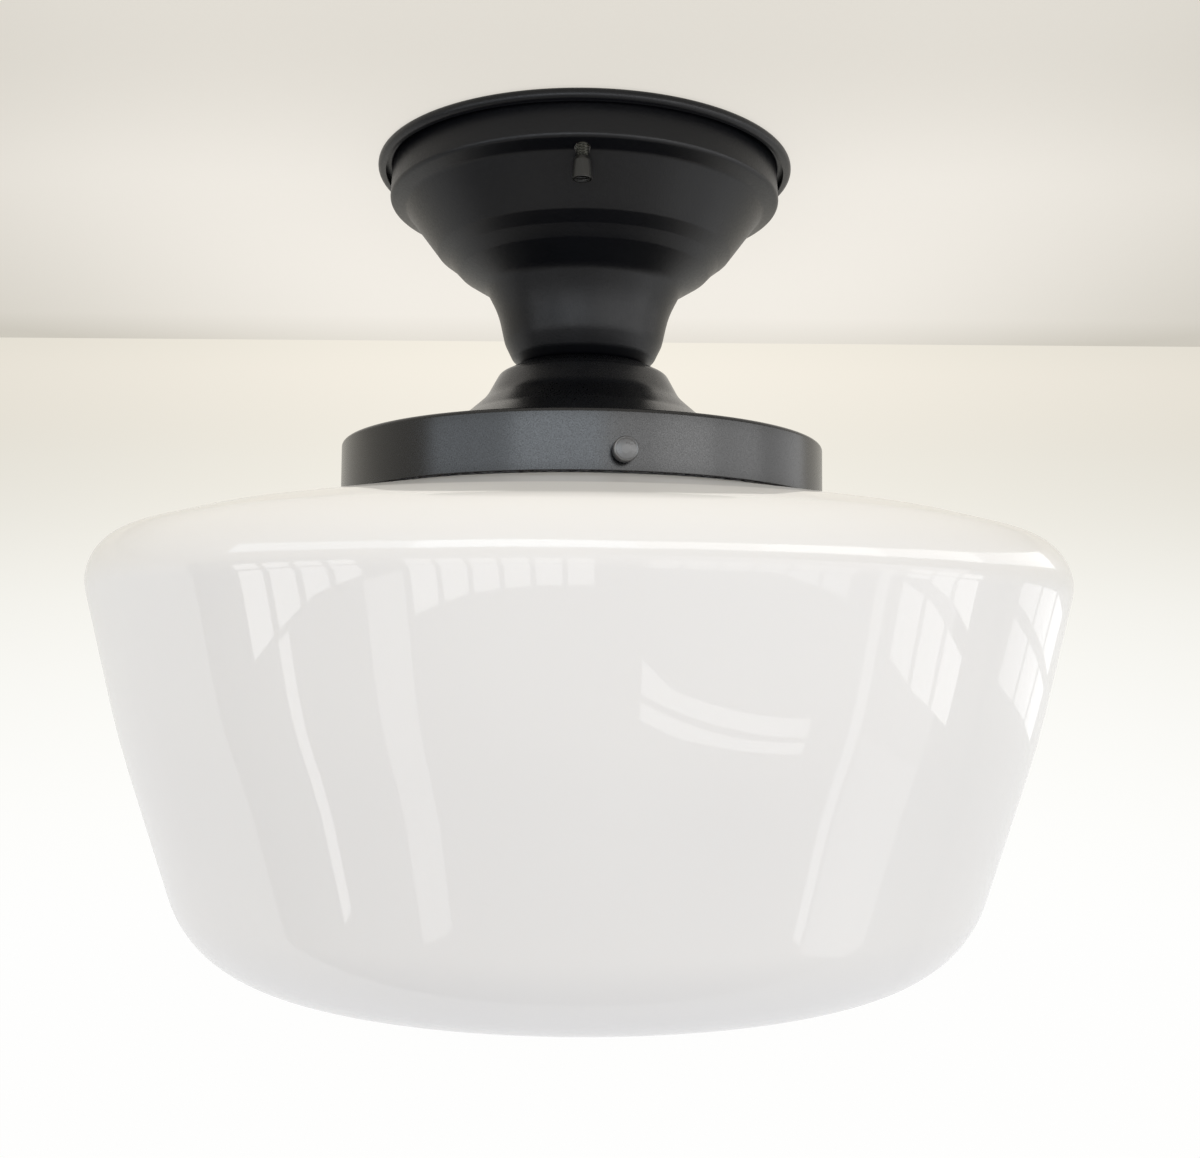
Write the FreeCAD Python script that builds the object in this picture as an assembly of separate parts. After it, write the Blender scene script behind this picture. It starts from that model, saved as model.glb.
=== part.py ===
import FreeCAD, Part
import math
import os

# Semi flush ceiling light: a black spun canopy on a ceiling strap, a flared shade holder
# below it, and a closed opal glass shade held by three thumb screws.
# Millimetres. The origin is on the ceiling plane, on the light's axis. +Z is up, the light
# hangs below, and its front is towards -Y. A height below the ceiling is negative.
# A bend is (radius from the axis, height, rounding), on the face that is seen.

Vector = FreeCAD.Vector

nothing = 1e-6              # shorter than this is no distance

# Clearances
running_gap = 0.05          # radial, between a screw and what it turns in
loose_gap = 0.3             # between pieces that must not touch
strap_end_gap = 0.4         # between the strap's ends and the canopy
stud_hole_gap = 0.55        # radial, around a stud in the canopy
tip_gap = 0.25              # between a thumb screw's tip and the glass neck
lip_gap = 0.65              # between the glass lip and the bushes in the band
taper_gap = 0.4             # between a thumb screw's tip and the foot of the lip's taper
under_band_gap = 0.6        # between the band and the top of the glass below it
bush_seat_gap = 0.15        # between a flat bush collar and the round band
bush_flush = 0.1            # bush spigot to the band's outer face
lead_tube_gap = 1.2         # between a lead and the bore of the threaded tube
lead_hole_gap = 0.25
skirt_gap = 0.8             # between the lampholder cap's edge and the porcelain shoulder
shell_space = 0.75          # between the screw shell and the porcelain bore
thread_gap = 0.25           # between the bulb's cap and the screw shell
collar_gap = 0.8            # between the bulb's collar and the porcelain bore

# Spun sheet steel
canopy_sheet = 0.9
holder_sheet = 0.95

# Canopy
canopy_depth = 66.3         # ceiling to the underside of the neck
rim_radius = 68.2
rim_depth = 3.4
rim_curl = 2.45             # how far the curled edge reaches in
rim_round = 1.6
rim_reach = 4.8             # beyond the wall below it
wall_top_round = 0.7
ridge_reach = 0.8           # beyond the wall above it
ridge_depth = 12.9
ridge_round = 1.5
cove_step = 4.4             # in from the wall
cove_depth = 14.8
cove_round = 2.5
bulge_radius = 48.4
bulge_depth = 28.9
bulge_round = 2.0
step_radius = 44.5
step_depth = 31.8
step_round = 2.0
shoulder_radius = 41.2
shoulder_depth = 35.3
shoulder_round = 2.4
throat_radius = 32.3
throat_depth = 40.8
throat_round = 6.0
neck_radius = 28.2
neck_depth = 48.7
neck_round = 30.0
waist_radius = 26.0
waist_rise = 7.6            # above the underside of the neck
waist_round = 10.0
foot_radius = 23.5
foot_rise = 2.5
foot_round = 3.4
seat_radius = 20.6          # flat underside of the neck
seat_round = 2.0

# Ceiling strap
strap_width = 15.0
strap_thickness = 2.0
box_screw_spacing = 88.9
box_slot_width = 4.6
box_slot_length = 14.0
ground_screw_offset = 26.0
ground_screw_radius = 2.0
ground_head_radius = 3.6
ground_head_height = 2.2
ground_screw_length = 1.9

# Canopy studs and their barrel nuts
stud_radius = 1.75
stud_pitch = 0.8
stud_thread_depth = 0.35
stud_from_cove = 0.4
stud_overrun = 0.3          # past the nut's thread
barrel_radius = 2.9         # at its open end
barrel_shoulder_radius = 2.62
barrel_top_radius = 2.15
barrel_cone = 1.1
barrel_top_depth = 17.5
barrel_length = 6.6
barrel_thread_length = 2.8
barrel_bore_radius = 2.2
barrel_edge_round = 0.2

# Threaded tube that carries everything below the canopy
tube_radius = 5.0
tube_bore_radius = 3.9
tube_rise = 9.3             # above the underside of the neck
tube_thread_pitch = 1.0
tube_thread_depth = 0.4
nut_across_flats = 14.0
nut_height = 4.0
washer_radius = 8.5
washer_thickness = 0.8
ring_radius = 8.2
ring_thickness = 0.8
ring_barrel_radius = 1.8
ring_barrel_length = 6.0
ring_barrel_seat = 1.8      # from the barrel's end to the end of the lead in it
strap_ring_margin = 0.4     # of the strap's ring around the screw head

# Shade holder: depths are below its top, which meets the underside of the neck
crown_step = 0.4            # wider than the canopy's seat
crown_round = 6.0
brow_radius = 27.7
brow_depth = 3.4
brow_round = 3.7
flare_radius = 31.9
flare_depth = 11.2
flare_round = 12.0
sweep_radius = 38.4
sweep_depth = 17.0
sweep_round = 12.0
dish_radius = 49.8
dish_depth = 23.8
dish_round = 15.0
band_radius = 78.0
band_top_depth = 28.3
band_round = 1.3
band_height = 17.4

# Thumb screws, their threaded bushes and where they sit
screw_count = 3
screw_turn = 9.0            # first screw, degrees to the right of the front
screw_rise = 5.4            # above the bottom edge of the band
screw_radius = 2.0
screw_tip_round = 0.5
screw_standoff = 1.9        # from the band to the head
screw_head_radius = 3.55
screw_head_height = 3.1
screw_head_round = 0.55
bush_radius = 3.5
bush_spigot_radius = 2.9
bush_reach = 2.0            # into the holder

# Glass shade: depths are below the bottom edge of the band
glass_wall = 3.3
glass_lip = 1.5             # how far the lip stands out
glass_lip_height = 2.2
glass_drop = 2.0            # lip below the top of the band
glass_edge_round = 1.2
glass_neck_round = 3.0
top_slope_radius = 126.6
top_slope_depth = 10.0
top_slope_round = 30.0
widest_radius = 155.6
widest_depth = 18.3
widest_round = 15.5
side_radius = 142.0
side_depth = 75.0
side_round = 260.0
heel_radius = 120.3
heel_depth = 141.2
heel_round = 36.0
base_radius = 78.8
base_drop = 9.6             # below the heel
base_round = 120.0
centre_radius = 22.0
centre_drop = 7.2           # below the base
centre_round = 250.0

# Lampholder: depths are below the nut that carries it
cap_radius = 18.6
cap_sheet = 1.0
cap_round = 3.0
hub_radius = 8.0
hub_height = 3.0
porcelain_drop = 11.8
porcelain_spigot_height = 6.0
porcelain_radius = 19.5
porcelain_length = 43.0
porcelain_web = 8.0
porcelain_round = 1.5
porcelain_edge_round = 0.6
cap_screw_radius = 1.5
cap_screw_depth = 4.0       # into the porcelain
cap_screw_head_radius = 2.6
cap_screw_head_height = 1.3
cap_screw_head_round = 0.6
rivet_radius = 1.5
rivet_head_radius = 2.6
rivet_head_height = 0.8
shell_sheet = 0.4
shell_radius = 13.35        # inside, at the narrow rings
shell_wave = 0.7
shell_pitch = 3.6
shell_waves = 7
shell_wave_round = 1.2
shell_corner_round = 0.8
shell_neck = 1.2            # from the porcelain to the first narrow ring
shell_hole_radius = 6.0
leaf_radius = 4.0
leaf_tip_radius = 2.0
leaf_thickness = 0.6
leaf_reach = 2.2
leaf_round = 0.4

# Bulb: depths are below its contact
bulb_contact_radius = 4.4
bulb_contact_height = 1.0
bulb_insulator_radius = 10.4
bulb_insulator_height = 3.2
bulb_contact_round = 0.4
bulb_cap_length = 22.0
bulb_cap_wave = 0.7
bulb_cap_waves = 5
bulb_collar_straight = 8.0
bulb_collar_length = 30.0
bulb_collar_round = 1.0
bulb_flare_round = 12.0
bulb_shoulder_height = 8.0
bulb_shoulder_round = 10.0
bulb_nose_flat = 1.0
bulb_radius = 30.0
bulb_length = 108.0
bulb_glass = 1.2
bulb_seat_radius = 27.6

# Leads
lead_radius = 1.1
lead_hole_offset = 6.0
lead_seat = 1.0             # above the underside of the porcelain web
lead_rise = 2.6             # straight, above the porcelain
lead_drop = 2.4             # straight, below the threaded tube
lead_bend = 4.0
lead_fold_bend = 6.0
lead_loop_top = 7.5         # below the ceiling
lead_loop_width = 14.0
lead_loop_bottom = 34.0
lead_end_offset = 28.0
ground_bend = 4.5
ground_near = 7.5
ground_far = 19.0
ground_fold_high = 14.0     # below the ceiling
ground_fold_low = 30.0
connector_length = 20.0
connector_mouth_radius = 5.2
connector_tip_radius = 3.6
connector_skirt_radius = 3.0
connector_skirt_length = 7.0
connector_mouth_depth = 25.0
connector_bore_length = 14.0
connector_mouth_round = 0.6
connector_tip_round = 1.2

# Sizes that follow from the ones above
wall_radius = rim_radius - rim_reach
ridge_radius = wall_radius + ridge_reach
cove_radius = wall_radius - cove_step
stud_offset = cove_radius + stud_from_cove
stud_length = barrel_top_depth + barrel_thread_length + stud_overrun
stud_hole_radius = stud_radius + stud_hole_gap
crown_radius = seat_radius + crown_step
band_inside = band_radius - holder_sheet
bush_face = band_inside - bush_reach
lip_radius = bush_face - lip_gap
glass_neck_radius = lip_radius - glass_lip
screw_tip = glass_neck_radius + tip_gap
screw_head_base = band_radius + screw_standoff
porcelain_spigot_radius = cap_radius - cap_sheet - loose_gap
porcelain_bore_radius = shell_radius + shell_wave + shell_sheet + shell_space
cap_height = porcelain_drop + porcelain_spigot_height - skirt_gap
bulb_cap_radius = shell_radius - thread_gap
bulb_collar_radius = porcelain_bore_radius - collar_gap
lead_from_axis = tube_bore_radius - lead_radius - lead_tube_gap
lead_hole_radius = lead_radius + lead_hole_gap
strap_reach = wall_radius - canopy_sheet - strap_end_gap

# Heights that follow
neck_base = -canopy_depth
neck_floor = neck_base + canopy_sheet
ring_base = neck_floor + washer_thickness
ring_top = ring_base + ring_thickness
tube_top = neck_base + tube_rise
lower_washer_base = neck_base - holder_sheet - washer_thickness
cap_top = lower_washer_base - nut_height
hub_top = cap_top - cap_sheet
hub_base = hub_top - hub_height
band_top = neck_base - band_top_depth
band_base = band_top - band_height
screw_height = band_base + screw_rise
glass_top = band_top - glass_drop
glass_heel = band_base - heel_depth
glass_base = glass_heel - base_drop
glass_centre = glass_base - centre_drop
porcelain_top = cap_top - porcelain_drop
porcelain_base = porcelain_top - porcelain_length
porcelain_shoulder = porcelain_top - porcelain_spigot_height
cap_screw_height = porcelain_top - porcelain_spigot_height / 2
web_base = porcelain_top - porcelain_web
leaf_tip = web_base - leaf_reach
bulb_top = leaf_tip - loose_gap
bulb_insulator_top = bulb_top - bulb_contact_height
bulb_cap_top = bulb_insulator_top - bulb_insulator_height
bulb_collar_top = bulb_cap_top - bulb_cap_length
bulb_globe_top = bulb_collar_top - bulb_collar_length


def point(bend):
    return Vector(bend[0], 0, bend[1])


def rounded_corner(before, corner, after, rounding):
    """Start, middle and end of the arc that rounds a corner between two straight lines."""
    back = (before - corner).normalize()
    ahead = (after - corner).normalize()
    half_angle = back.getAngle(ahead) / 2
    reach = rounding / math.tan(half_angle)
    inward = (back + ahead).normalize()
    middle = corner + inward * (rounding / math.sin(half_angle) - rounding)
    return corner + back * reach, middle, corner + ahead * reach


def rounded_edges(corners, roundings, closed):
    """Straight edges and arcs through the corners."""
    edges = []
    count = len(corners)
    first = None
    last = None
    for index in range(count):
        corner = corners[index]
        at_end = not closed and index in (0, count - 1)
        if roundings[index] > 0 and not at_end:
            before = corners[index - 1]
            after = corners[(index + 1) % count]
            start, middle, end = rounded_corner(before, corner, after, roundings[index])
            arc = Part.Arc(start, middle, end).toShape()
        else:
            start = corner
            end = corner
            arc = None
        if last is not None and (start - last).Length > nothing:
            edges.append(Part.makeLine(last, start))
        if arc is not None:
            edges.append(arc)
        if first is None:
            first = start
        last = end
    if closed and (first - last).Length > nothing:
        edges.append(Part.makeLine(last, first))
    return edges


def turned(bends):
    """Solid of revolution about Z with the closed outline of the bends."""
    corners = [point(bend) for bend in bends]
    roundings = [bend[2] for bend in bends]
    outline = Part.Wire(rounded_edges(corners, roundings, True))
    return Part.Face(outline).revolve(Vector(0, 0, 0), Vector(0, 0, 1), 360)


def offset_bends(bends, thickness):
    """The same bends on the sheet's other face, to the right of the direction of travel."""
    steps = []
    for index in range(len(bends) - 1):
        steps.append((point(bends[index + 1]) - point(bends[index])).normalize())
    moved = []
    for index, bend in enumerate(bends):
        before = steps[max(index - 1, 0)]
        after = steps[min(index, len(steps) - 1)]
        side_before = Vector(before.z, 0, -before.x)
        side_after = Vector(after.z, 0, -after.x)
        side = (side_before + side_after).normalize()
        place = point(bend) + side * (thickness / side.dot(side_before))
        turn = before.z * after.x - before.x * after.z
        rounding = bend[2]
        if rounding > 0:
            rounding += -thickness if turn > 0 else thickness
        moved.append((place.x, place.z, max(rounding, 0)))
    return moved


def spun_sheet(bends, thickness):
    """Sheet of even thickness, turned about Z, behind the face that the bends describe."""
    return turned(bends + offset_bends(bends, thickness)[::-1])


def cylinder(radius, base, top, x=0, y=0):
    return Part.makeCylinder(radius, top - base, Vector(x, y, base))


def ring(outer_radius, inner_radius, base, top):
    return cylinder(outer_radius, base, top).cut(cylinder(inner_radius, base, top))


def threaded_rod(radius, base, top, pitch, depth):
    """Rod with a ring groove for each turn of its thread."""
    bends = [(0, base, 0), (radius - depth, base, 0)]
    turns = int((top - base) / pitch)
    first = base + (top - base - turns * pitch) / 2
    for turn in range(turns):
        bends.append((radius - depth, first + turn * pitch, 0))
        bends.append((radius, first + (turn + 0.5) * pitch, 0))
    bends.append((radius - depth, first + turns * pitch, 0))
    bends.append((radius - depth, top, 0))
    bends.append((0, top, 0))
    tidy = [bends[0]]
    for bend in bends[1:]:
        if (point(bend) - point(tidy[-1])).Length > nothing:
            tidy.append(bend)
    return turned(tidy)


def hexagon_nut(base, bore_radius):
    corner = nut_across_flats / 2 / math.cos(math.pi / 6)
    corners = []
    for side in range(7):
        angle = side * math.pi / 3
        corners.append(Vector(corner * math.cos(angle), corner * math.sin(angle), base))
    prism = Part.Face(Part.makePolygon(corners)).extrude(Vector(0, 0, nut_height))
    return prism.cut(cylinder(bore_radius, base, base + nut_height))


def wire_lead(corners, bends):
    """Insulated lead from the first corner to the last, turned with an arc at each other one."""
    edges = rounded_edges(corners, [0] + bends + [0], False)
    path = Part.Wire(edges)
    direction = (corners[1] - corners[0]).normalize()
    section = Part.Wire(Part.makeCircle(lead_radius, corners[0], direction))
    return path.makePipeShell([section], True, False)


def around_front(shape, turn):
    """A piece made along +X, turned to stand out of the band at an angle from the front."""
    placed = shape.copy()
    placed.rotate(Vector(0, 0, 0), Vector(0, 0, 1), turn - 90)
    return placed


def made_outwards(bends, height):
    """Turned piece whose own axis points out of the band, along +X, at a height."""
    piece = turned(bends)
    piece.rotate(Vector(0, 0, 0), Vector(0, 1, 0), 90)
    piece.translate(Vector(0, 0, height))
    return piece


def screw_turns():
    return [screw_turn + number * 360 / screw_count for number in range(screw_count)]


def canopy():
    bends = [
        (rim_radius - rim_curl, canopy_sheet - rim_depth, 0),
        (rim_radius - canopy_sheet, canopy_sheet - rim_depth, rim_round - canopy_sheet),
        (rim_radius - canopy_sheet, -canopy_sheet, rim_round - canopy_sheet),
        (wall_radius, -canopy_sheet, wall_top_round),
        (ridge_radius, -ridge_depth, ridge_round),
        (cove_radius, -cove_depth, cove_round),
        (bulge_radius, -bulge_depth, bulge_round),
        (step_radius, -step_depth, step_round),
        (shoulder_radius, -shoulder_depth, shoulder_round),
        (throat_radius, -throat_depth, throat_round),
        (neck_radius, -neck_depth, neck_round),
        (waist_radius, neck_base + waist_rise, waist_round),
        (foot_radius, neck_base + foot_rise, foot_round),
        (seat_radius, neck_base, seat_round),
        (tube_radius + running_gap, neck_base, 0),
    ]
    shell = spun_sheet(bends, canopy_sheet)
    for side in (-1, 1):
        hole = cylinder(stud_hole_radius, -bulge_depth, -rim_depth, 0, side * stud_offset)
        shell = shell.cut(hole)
    return shell


def strap():
    half = strap_width / 2
    bar = Part.makeBox(strap_width, 2 * rim_radius, strap_thickness,
                       Vector(-half, -rim_radius, -strap_thickness))
    bar = bar.common(cylinder(strap_reach, -strap_thickness, 0))
    bar = bar.cut(cylinder(tube_radius + running_gap, -strap_thickness, 0))
    bar = bar.cut(cylinder(ground_screw_radius + running_gap, -strap_thickness, 0,
                           0, ground_screw_offset))
    for side in (-1, 1):
        bar = bar.cut(cylinder(stud_radius + running_gap, -strap_thickness, 0,
                               0, side * stud_offset))
        bar = bar.cut(box_screw_slot(side * box_screw_spacing / 2))
    return bar


def box_screw_slot(centre):
    radius = box_slot_width / 2
    reach = box_slot_length / 2 - radius
    middle = Part.makeBox(box_slot_width, 2 * reach, strap_thickness,
                          Vector(-radius, centre - reach, -strap_thickness))
    first = cylinder(radius, -strap_thickness, 0, 0, centre - reach)
    second = cylinder(radius, -strap_thickness, 0, 0, centre + reach)
    return middle.fuse([first, second]).removeSplitter()


def ground_screw():
    seat = -strap_thickness - ring_thickness
    head = cylinder(ground_head_radius, seat - ground_head_height, seat)
    shank = cylinder(ground_screw_radius, seat, seat + ground_screw_length)
    screw = head.fuse(shank).removeSplitter()
    screw.translate(Vector(0, ground_screw_offset, 0))
    return screw


def canopy_studs():
    studs = []
    for side in (-1, 1):
        stud = threaded_rod(stud_radius, -stud_length, 0, stud_pitch, stud_thread_depth)
        stud.translate(Vector(0, side * stud_offset, 0))
        studs.append(stud)
    return Part.Compound(studs)


def barrel_nut(side):
    top = -barrel_top_depth
    base = top - barrel_length
    thread_base = top - barrel_thread_length
    nut = turned([
        (stud_radius + running_gap, top, 0),
        (barrel_top_radius, top, 0),
        (barrel_shoulder_radius, top - barrel_cone, 0),
        (barrel_radius, base, barrel_edge_round),
        (barrel_bore_radius, base, 0),
        (barrel_bore_radius, thread_base, 0),
        (stud_radius + running_gap, thread_base, 0),
    ])
    nut.translate(Vector(0, side * stud_offset, 0))
    return nut


def threaded_tube():
    rod = threaded_rod(tube_radius, hub_base, tube_top, tube_thread_pitch, tube_thread_depth)
    return rod.cut(cylinder(tube_bore_radius, hub_base, tube_top))


def flat_washer(base):
    return ring(washer_radius, tube_radius + running_gap, base, base + washer_thickness)


def along_y(radius, start, end, height):
    return Part.makeCylinder(radius, end - start, Vector(0, start, height), Vector(0, 1, 0))


def tube_barrel_start():
    return ring_radius - ring_thickness


def tube_ring_terminal():
    """Ring under the tube's top nut, with a crimp barrel for the ground lead."""
    plate = ring(ring_radius, tube_radius + running_gap, ring_base, ring_top)
    start = tube_barrel_start()
    end = start + ring_barrel_length
    height = ring_base + ring_barrel_radius
    barrel = along_y(ring_barrel_radius, start, end, height)
    nut_space = cylinder(ring_radius + loose_gap, ring_top, ring_top + nut_height)
    bore = along_y(lead_radius + running_gap, start, end, height)
    return plate.fuse(barrel.cut(nut_space)).cut(bore)


def strap_barrel_end():
    return ground_screw_offset - ground_head_radius - strap_ring_margin + ring_thickness


def strap_ring_terminal():
    """Ring under the ground screw's head, with a crimp barrel for the ground lead."""
    top = -strap_thickness
    base = top - ring_thickness
    outer = ground_head_radius + strap_ring_margin
    plate = ring(outer, ground_screw_radius + running_gap, base, top)
    plate.translate(Vector(0, ground_screw_offset, 0))
    end = strap_barrel_end()
    start = end - ring_barrel_length
    height = top - ring_barrel_radius
    barrel = along_y(ring_barrel_radius, start, end, height)
    head_space = cylinder(ground_head_radius + loose_gap, base - ground_head_height, base,
                          0, ground_screw_offset)
    bore = along_y(lead_radius + running_gap, start, end, height)
    return plate.fuse(barrel.cut(head_space)).cut(bore)


def ground_lead():
    """Lead from the ring on the threaded tube up to the ring on the strap."""
    low = ring_base + ring_barrel_radius
    high = -strap_thickness - ring_barrel_radius
    return wire_lead([
        Vector(0, tube_barrel_start() + ring_barrel_seat, low),
        Vector(0, ground_far, low),
        Vector(0, ground_far, -ground_fold_low),
        Vector(0, ground_near, -ground_fold_high),
        Vector(0, ground_near, high),
        Vector(0, strap_barrel_end() - ring_barrel_seat, high),
    ], [ground_bend] * 4)


def supply_lead(side):
    """Lead from the lampholder up the threaded tube, folded once inside the canopy."""
    near = side * lead_from_axis
    fold = side * (lead_from_axis + lead_loop_width)
    end = side * lead_end_offset
    hole = side * lead_hole_offset
    lead_end = -connector_mouth_depth + connector_bore_length
    return wire_lead([
        Vector(hole, 0, web_base + lead_seat),
        Vector(hole, 0, porcelain_top + lead_rise),
        Vector(near, 0, hub_base - lead_drop),
        Vector(near, 0, -lead_loop_top),
        Vector(fold, 0, -lead_loop_top),
        Vector(fold, 0, -lead_loop_bottom),
        Vector(end, 0, -lead_loop_bottom),
        Vector(end, 0, lead_end),
    ], [lead_bend] * 2 + [lead_fold_bend] * 4)


def wire_connectors():
    """Twist-on connectors, one gripping the end of each supply lead, open downwards."""
    pieces = []
    mouth = -connector_mouth_depth
    grip_base = mouth + connector_skirt_length
    grip_top = mouth + connector_bore_length
    grip_radius = lead_radius + running_gap
    top = mouth + connector_length
    for side in (-1, 1):
        piece = turned([
            (connector_skirt_radius, mouth, 0),
            (connector_mouth_radius, mouth, connector_mouth_round),
            (connector_tip_radius, top, connector_tip_round),
            (0, top, 0),
            (0, grip_top, 0),
            (grip_radius, grip_top, 0),
            (grip_radius, grip_base, 0),
            (connector_skirt_radius, grip_base, 0),
        ])
        piece.translate(Vector(side * lead_end_offset, 0, 0))
        pieces.append(piece)
    return Part.Compound(pieces)


def shade_holder():
    bends = [
        (tube_radius + running_gap, neck_base, 0),
        (crown_radius, neck_base, crown_round),
        (brow_radius, neck_base - brow_depth, brow_round),
        (flare_radius, neck_base - flare_depth, flare_round),
        (sweep_radius, neck_base - sweep_depth, sweep_round),
        (dish_radius, neck_base - dish_depth, dish_round),
        (band_radius, band_top, band_round),
        (band_radius, band_base, 0),
    ]
    shell = spun_sheet(bends, holder_sheet)
    for turn in screw_turns():
        hole = Part.makeCylinder(bush_spigot_radius + running_gap, 2 * bush_reach,
                                 Vector(bush_face, 0, screw_height),
                                 Vector(1, 0, 0))
        shell = shell.cut(around_front(hole, turn))
    return shell


def screw_bushes():
    """Threaded bushes riveted into the band, one for each thumb screw."""
    collar_face = band_inside - bush_seat_gap
    spigot_end = band_radius - bush_flush
    bore = screw_radius + running_gap
    bush = made_outwards([
        (bore, bush_face, 0),
        (bush_radius, bush_face, 0),
        (bush_radius, collar_face, 0),
        (bush_spigot_radius, collar_face, 0),
        (bush_spigot_radius, spigot_end, 0),
        (bore, spigot_end, 0),
    ], screw_height)
    return Part.Compound([around_front(bush, turn) for turn in screw_turns()])


def thumb_screw(turn):
    head_top = screw_head_base + screw_head_height
    screw = made_outwards([
        (0, screw_tip, 0),
        (screw_radius, screw_tip, screw_tip_round),
        (screw_radius, screw_head_base, 0),
        (screw_head_radius, screw_head_base, screw_head_round / 2),
        (screw_head_radius, head_top, screw_head_round),
        (0, head_top, 0),
    ], screw_height)
    return around_front(screw, turn)


def glass_shade():
    taper_base = screw_height + screw_radius + taper_gap
    outside = [
        (lip_radius, glass_top, glass_edge_round),
        (lip_radius, glass_top - glass_lip_height, 0),
        (glass_neck_radius, taper_base, 0),
        (glass_neck_radius, band_base + under_band_gap / 2, glass_neck_round),
        (top_slope_radius, band_base - top_slope_depth, top_slope_round),
        (widest_radius, band_base - widest_depth, widest_round),
        (side_radius, band_base - side_depth, side_round),
        (heel_radius, glass_heel, heel_round),
        (base_radius, glass_base, base_round),
        (centre_radius, glass_centre, centre_round),
        (0, glass_centre, 0),
    ]
    inside = offset_bends(outside, glass_wall)
    inside[0] = (inside[0][0], glass_top, glass_edge_round)
    return turned(outside + inside[::-1])


def cap_screw_hole(radius):
    """Cross hole for both cap screws."""
    return along_y(radius, -porcelain_radius, porcelain_radius, cap_screw_height)


def lampholder_cap():
    cap = spun_sheet([
        (tube_radius + running_gap, cap_top, 0),
        (cap_radius, cap_top, cap_round),
        (cap_radius, cap_top - cap_height, 0),
    ], cap_sheet)
    return cap.cut(cap_screw_hole(cap_screw_radius + running_gap))


def cap_screws():
    """Two screws through the cap's skirt that hold the porcelain."""
    tip = porcelain_spigot_radius - cap_screw_depth
    screws = []
    for side in (0, 180):
        screw = made_outwards([
            (0, tip, 0),
            (cap_screw_radius, tip, 0),
            (cap_screw_radius, cap_radius, 0),
            (cap_screw_head_radius, cap_radius, 0),
            (cap_screw_head_radius, cap_radius + cap_screw_head_height, cap_screw_head_round),
            (0, cap_radius + cap_screw_head_height, 0),
        ], cap_screw_height)
        screws.append(around_front(screw, side))
    return Part.Compound(screws)


def cap_hub():
    return ring(hub_radius, tube_radius + running_gap, hub_base, hub_top)


def porcelain_body():
    body = turned([
        (rivet_radius + running_gap, porcelain_top, 0),
        (porcelain_spigot_radius, porcelain_top, porcelain_edge_round),
        (porcelain_spigot_radius, porcelain_shoulder, 0),
        (porcelain_radius, porcelain_shoulder, porcelain_edge_round),
        (porcelain_radius, porcelain_base, porcelain_round),
        (porcelain_bore_radius, porcelain_base, porcelain_round),
        (porcelain_bore_radius, web_base, 0),
        (rivet_radius + running_gap, web_base, 0),
    ])
    for side in (-1, 1):
        body = body.cut(cylinder(lead_hole_radius, web_base, porcelain_top,
                                 side * lead_hole_offset, 0))
    middle = cylinder(porcelain_spigot_radius - cap_screw_depth, porcelain_base, porcelain_top)
    return body.cut(cap_screw_hole(cap_screw_radius + running_gap).cut(middle))


def contact_rivet():
    head_top = porcelain_top + rivet_head_height
    shank = cylinder(rivet_radius, web_base, porcelain_top)
    return shank.fuse(cylinder(rivet_head_radius, porcelain_top, head_top))


def waved_wall(radius, wave, count, top):
    """Bends of a rolled thread, going down from a narrow ring."""
    bends = []
    for half in range(2 * count + 1):
        at_end = half in (0, 2 * count)
        reach = radius + (wave if half % 2 else 0)
        height = top - half * shell_pitch / 2
        bends.append((reach, height, 0 if at_end else shell_wave_round))
    return bends


def screw_shell():
    narrow = shell_radius + shell_sheet
    bends = [(shell_hole_radius, web_base, 0), (narrow, web_base, shell_corner_round)]
    bends += waved_wall(narrow, shell_wave, shell_waves, web_base - shell_neck)[1:]
    return spun_sheet(bends, shell_sheet)


def contact_leaf():
    return turned([
        (0, web_base, 0),
        (leaf_radius, web_base, 0),
        (leaf_radius, web_base - leaf_thickness, 0),
        (leaf_tip_radius, leaf_tip, leaf_round),
        (0, leaf_tip, 0),
    ])


def bulb_contact():
    return turned([
        (0, bulb_top, 0),
        (bulb_contact_radius, bulb_top, bulb_contact_round),
        (bulb_contact_radius, bulb_insulator_top, 0),
        (0, bulb_insulator_top, 0),
    ])


def bulb_insulator():
    return turned([
        (0, bulb_insulator_top, 0),
        (bulb_contact_radius, bulb_insulator_top, 0),
        (bulb_insulator_radius, bulb_cap_top, 0),
        (0, bulb_cap_top, 0),
    ])


def bulb_cap():
    trough = bulb_cap_radius - bulb_cap_wave
    wave_top = bulb_cap_top - (trough - bulb_insulator_radius)
    bends = [(0, bulb_cap_top, 0), (bulb_insulator_radius, bulb_cap_top, 0)]
    bends += waved_wall(trough, bulb_cap_wave, bulb_cap_waves, wave_top)
    bends += [(trough, bulb_collar_top, 0), (0, bulb_collar_top, 0)]
    return turned(bends)


def bulb_collar():
    return turned([
        (0, bulb_collar_top, 0),
        (bulb_collar_radius, bulb_collar_top, bulb_collar_round),
        (bulb_collar_radius, bulb_collar_top - bulb_collar_straight, bulb_flare_round),
        (bulb_seat_radius, bulb_globe_top, 0),
        (0, bulb_globe_top, 0),
    ])


def bulb_globe():
    nose = bulb_top - bulb_length
    return spun_sheet([
        (bulb_seat_radius, bulb_globe_top, 0),
        (bulb_radius, bulb_globe_top - bulb_shoulder_height, bulb_shoulder_round),
        (bulb_radius, nose, bulb_radius - bulb_nose_flat),
        (0, nose, 0),
    ], bulb_glass)


def save(name, shape):
    shape.exportStep("parts/" + name + ".step")
    print(name, round(shape.Volume, 1), "valid" if shape.isValid() else "NOT VALID")


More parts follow.
